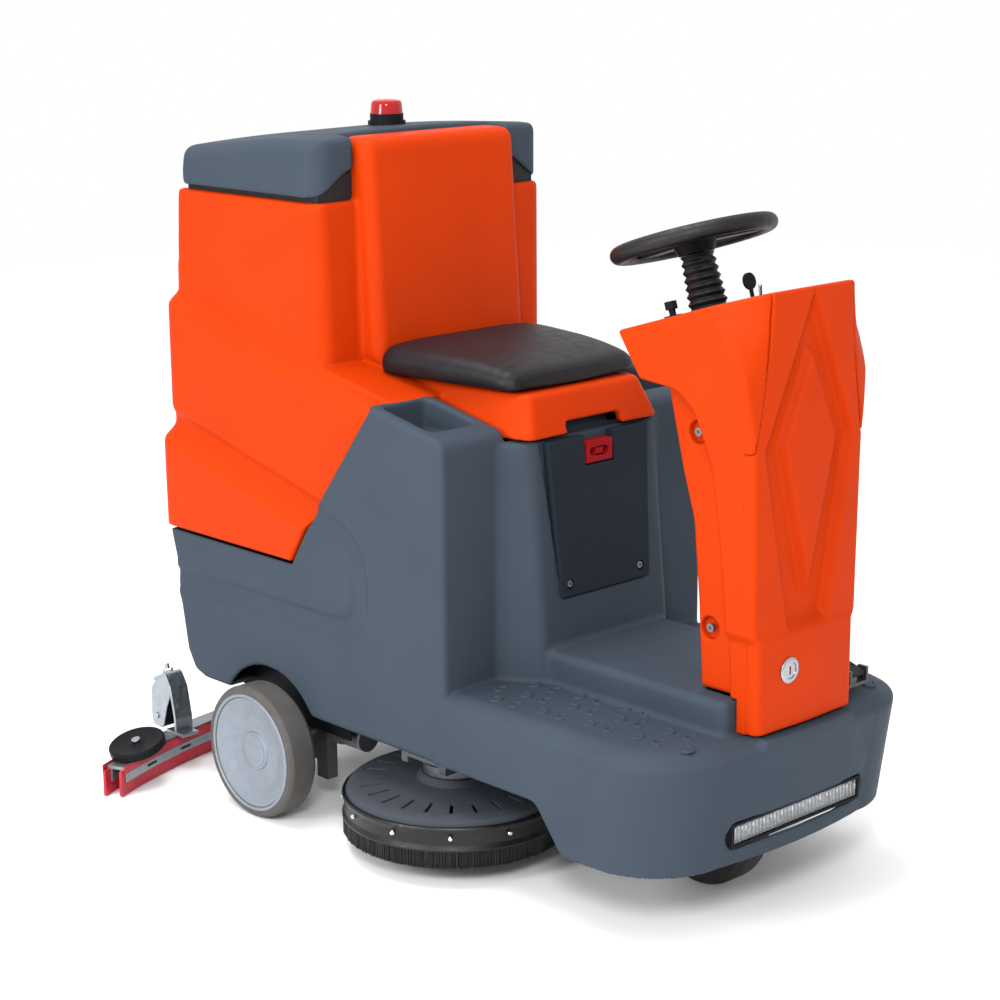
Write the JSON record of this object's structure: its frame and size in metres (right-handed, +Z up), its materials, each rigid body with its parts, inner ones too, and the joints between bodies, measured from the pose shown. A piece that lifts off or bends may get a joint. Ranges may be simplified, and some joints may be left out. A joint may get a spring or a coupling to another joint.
{
  "type": "ride-on floor scrubber",
  "caption": "Ride-on floor scrubber with a tilting tank under the seat, a steered front drive wheel, twin disc brushes on a lifting deck and a curved rear squeegee.",
  "frame": {"origin": "on the floor, at the middle of the machine's length and width", "axes": "+X forward in the direction of travel, +Y to the driver's left, +Z up"},
  "size_m": [1.432, 1.048, 1.2963],
  "materials": {
    "orange_shell": "satin moulded polyethylene",
    "grey_shell": "satin moulded polyethylene",
    "dark_shell": "fine moulded grain",
    "brush_housing": "fine moulded grain",
    "black_plastic": "satin",
    "soft_grip": "grained soft grip",
    "black_rubber": "matt",
    "black_tyre": "matt",
    "grey_tyre": "matt non-marking",
    "silver_rim": "satin silver",
    "red_rubber": "semi-matt polyurethane",
    "red_plastic": "gloss",
    "black_vinyl": "grained vinyl",
    "frame_paint": "satin black paint",
    "steel": "turned",
    "zinc": "zinc plated",
    "motor_steel": "drawn can",
    "cast_alloy": "cast",
    "alloy_strip": "extruded",
    "chrome": "polished",
    "battery_case": "moulded",
    "bristle": "nylon",
    "clear_lens": "clear ribbed",
    "red_lens": "translucent"
  },
  "bodies": {
    "chassis": {"base_body": "grey_shell", "chassis_frame": "frame_paint", "rear_axle": "steel", "wheel_bearings": "steel", "battery_door": "dark_shell", "body_screws": "steel", "charge_socket": "red_plastic", "batteries": "battery_case", "vacuum_motor": "motor_steel", "solution_pump": "motor_steel", "motor_controller": "cast_alloy", "cowl_shell": "orange_shell", "cowl_front": "orange_shell", "dash_panel": "black_plastic", "steering_column": "frame_paint", "column_bellows": "black_rubber", "headlight_housing": "black_plastic", "headlight_lens": "clear_lens", "suction_elbow": "black_rubber", "suction_hose": "black_rubber", "pedal_bracket": "frame_paint"},
    "steering_wheel": {"steering_rim": "soft_grip", "steering_hub": "black_plastic"},
    "key": {"ignition_key": "black_plastic"},
    "toggle": {"toggle_switch": "chrome"},
    "lever": {"direction_lever": "black_plastic"},
    "pedal": {"drive_pedal": "black_rubber"},
    "lock": {"cowl_lock": "chrome"},
    "fork": {"drive_fork": "frame_paint"},
    "drive_wheel": {"drive_tyre": "black_tyre", "drive_hub": "cast_alloy"},
    "wheel_right": {"rear_tyre_right": "grey_tyre", "rear_rim_right": "silver_rim"},
    "wheel_left": {"rear_tyre_left": "grey_tyre", "rear_rim_left": "silver_rim"},
    "brush_deck": {"brush_deck_frame": "frame_paint", "brush_cover_right": "brush_housing", "brush_cover_left": "brush_housing", "splash_skirt_right": "black_rubber", "splash_skirt_left": "black_rubber", "skirt_screws": "zinc", "brush_motors": "motor_steel"},
    "brush_head_right": {"brush_right": "bristle"},
    "brush_head_left": {"brush_left": "bristle"},
    "arm": {"squeegee_arm": "frame_paint"},
    "squeegee_head": {"squeegee_channel": "alloy_strip", "squeegee_blade_front": "red_rubber", "squeegee_blade_rear": "red_rubber", "caster_forks": "zinc", "suction_nozzle": "black_rubber"},
    "side_roller_right": {"roller_right": "black_plastic"},
    "side_roller_left": {"roller_left": "black_plastic"},
    "caster_right": {"caster_wheel_right": "grey_tyre"},
    "caster_left": {"caster_wheel_left": "grey_tyre"},
    "tank": {"recovery_tank": "orange_shell", "seat_cushion": "black_vinyl"},
    "drain": {"drain_cap": "black_plastic"},
    "lid": {"tank_lid": "grey_shell", "beacon_base": "black_plastic", "beacon_dome": "red_lens"}
  },
  "joints": [
    {"name": "drive_steer", "type": "hinge", "parent": "chassis", "child": "fork", "pos_m": [0.484, 0, 0.25], "axis": [0, 0, 1], "range_deg": [-70, 70]},
    {"name": "steering_turn", "type": "hinge", "parent": "chassis", "child": "steering_wheel", "pos_m": [0.44, 0, 1.105], "axis": [-0.309, 0, 0.9511], "range_deg": [-350, 350]},
    {"name": "drive_roll", "type": "hinge", "parent": "fork", "child": "drive_wheel", "pos_m": [0.484, 0, 0.125], "axis": [0, 1, 0], "continuous": true},
    {"name": "wheel_roll_right", "type": "hinge", "parent": "chassis", "child": "wheel_right", "pos_m": [-0.298, -0.353, 0.125], "axis": [0, 1, 0], "continuous": true},
    {"name": "wheel_roll_left", "type": "hinge", "parent": "chassis", "child": "wheel_left", "pos_m": [-0.298, 0.353, 0.125], "axis": [0, 1, 0], "continuous": true},
    {"name": "brush_deck_lift", "type": "slide", "parent": "chassis", "child": "brush_deck", "axis": [0, 0, -1], "range_m": [0, 0.036]},
    {"name": "brush_spin_right", "type": "hinge", "parent": "brush_deck", "child": "brush_head_right", "pos_m": [0.072, -0.206, 0.06], "axis": [0, 0, 1], "continuous": true},
    {"name": "brush_spin_left", "type": "hinge", "parent": "brush_deck", "child": "brush_head_left", "pos_m": [0.072, 0.206, 0.06], "axis": [0, 0, 1], "continuous": true},
    {"name": "squeegee_lift", "type": "hinge", "parent": "chassis", "child": "arm", "pos_m": [-0.463, 0, 0.19], "axis": [0, 1, 0], "range_deg": [0, 17], "deforming": ["suction_hose"]},
    {"name": "squeegee_swing", "type": "hinge", "parent": "arm", "child": "squeegee_head", "pos_m": [-0.672, 0, 0.09], "axis": [0, 0, 1], "range_deg": [-12, 12]},
    {"name": "side_roller_spin_right", "type": "hinge", "parent": "squeegee_head", "child": "side_roller_right", "pos_m": [-0.58, -0.44, 0.082], "axis": [0, -0.2588, 0.9659], "continuous": true},
    {"name": "caster_roll_right", "type": "hinge", "parent": "squeegee_head", "child": "caster_right", "pos_m": [-0.67, -0.312, 0.092], "axis": [0, 1, 0], "continuous": true},
    {"name": "side_roller_spin_left", "type": "hinge", "parent": "squeegee_head", "child": "side_roller_left", "pos_m": [-0.58, 0.44, 0.082], "axis": [0, 0.2588, 0.9659], "continuous": true},
    {"name": "caster_roll_left", "type": "hinge", "parent": "squeegee_head", "child": "caster_left", "pos_m": [-0.67, 0.312, 0.092], "axis": [0, 1, 0], "continuous": true},
    {"name": "tank_tilt", "type": "hinge", "parent": "chassis", "child": "tank", "pos_m": [-0.62, 0, 0.486], "axis": [0, -1, 0], "range_deg": [0, 60]},
    {"name": "lid_open", "type": "hinge", "parent": "tank", "child": "lid", "pos_m": [-0.596, 0, 1.142], "axis": [0, -1, 0], "range_deg": [0, 75]},
    {"name": "drain_cap_turn", "type": "hinge", "parent": "tank", "child": "drain", "pos_m": [-0.628, 0.15, 0.56], "axis": [-1, 0, 0], "range_deg": [0, 180]},
    {"name": "key_turn", "type": "hinge", "parent": "chassis", "child": "key", "pos_m": [0.52108, 0.058, 1.00253], "axis": [-0.2957, 0, 0.9553], "range_deg": [0, 90]},
    {"name": "toggle_tilt", "type": "hinge", "parent": "chassis", "child": "toggle", "pos_m": [0.55929, 0.03, 1.01436], "axis": [0, 1, 0], "range_deg": [-24, 0]},
    {"name": "lever_tilt", "type": "hinge", "parent": "chassis", "child": "lever", "pos_m": [0.4886, -0.1, 0.99247], "axis": [0, 1, 0], "range_deg": [-15, 15]},
    {"name": "pedal_press", "type": "hinge", "parent": "chassis", "child": "pedal", "pos_m": [0.651, 0.186, 0.368], "axis": [0, -1, 0], "range_deg": [0, 12], "stiffness_Nm_per_rad": 2, "springref_deg": -5.73},
    {"name": "cowl_lock_turn", "type": "hinge", "parent": "chassis", "child": "lock", "pos_m": [0.687, -0.048, 0.439], "axis": [1, 0, 0], "range_deg": [0, 90]}
  ],
  "couplings": [
    {"joint": "steering_turn", "follows": "drive_steer", "ratio": 5}
  ]
}
